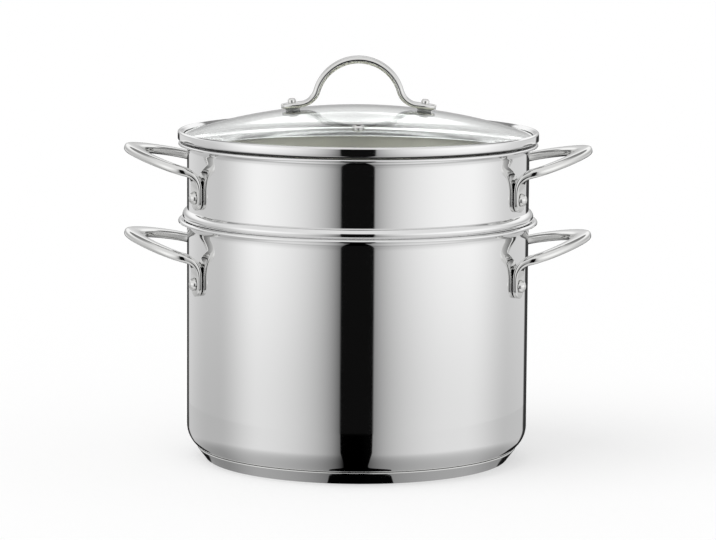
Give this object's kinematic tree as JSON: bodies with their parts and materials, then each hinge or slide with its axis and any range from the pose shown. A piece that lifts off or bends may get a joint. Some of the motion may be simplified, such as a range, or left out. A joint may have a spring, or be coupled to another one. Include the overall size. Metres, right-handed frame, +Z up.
{
  "type": "pasta pot",
  "caption": "Polished steel pasta pot with a bonded base, a lift-out strainer insert whose collar stands on the pot's lip, riveted loop handles and a domed glass lid with a strap handle.",
  "frame": {"origin": "on the pot's axis, at the level of the flat foot that it stands on", "axes": "+X points to the right-hand side handles, -Y to the viewer and the lid's steam vent, +Z up"},
  "size_m": [0.3314, 0.2552, 0.286],
  "materials": {
    "polished_steel": "mirror polished stainless steel, satin inside",
    "aluminium_core": "plain, closed in by the steel cap",
    "clear_glass": "clear tempered glass, polished",
    "clear_silicone": "translucent silicone, matt"
  },
  "bodies": {
    "pot": {"pot_shell": "polished_steel", "base_cap": "polished_steel", "base_core": "aluminium_core", "pot_handle_left": "polished_steel", "pot_handle_right": "polished_steel", "pot_rivet_left_front": "polished_steel", "pot_rivet_left_back": "polished_steel", "pot_rivet_right_front": "polished_steel", "pot_rivet_right_back": "polished_steel"},
    "insert": {"insert_shell": "polished_steel", "insert_handle_left": "polished_steel", "insert_handle_right": "polished_steel", "insert_rivet_left_front": "polished_steel", "insert_rivet_left_back": "polished_steel", "insert_rivet_right_front": "polished_steel", "insert_rivet_right_back": "polished_steel"},
    "lid": {"lid_glass": "clear_glass", "lid_rim_band": "polished_steel", "lid_handle": "polished_steel", "lid_rivet_left": "polished_steel", "lid_rivet_right": "polished_steel", "lid_washer_upper_left": "clear_silicone", "lid_washer_upper_right": "clear_silicone", "lid_washer_lower_left": "clear_silicone", "lid_washer_lower_right": "clear_silicone", "vent_grommet": "polished_steel"}
  },
  "joints": [
    {"name": "insert_lift", "type": "slide", "parent": "pot", "child": "insert", "axis": [0, 0, 1], "range_m": [0, 0.2]},
    {"name": "lid_lift", "type": "slide", "parent": "insert", "child": "lid", "axis": [0, 0, 1], "range_m": [0, 0.12]}
  ]
}
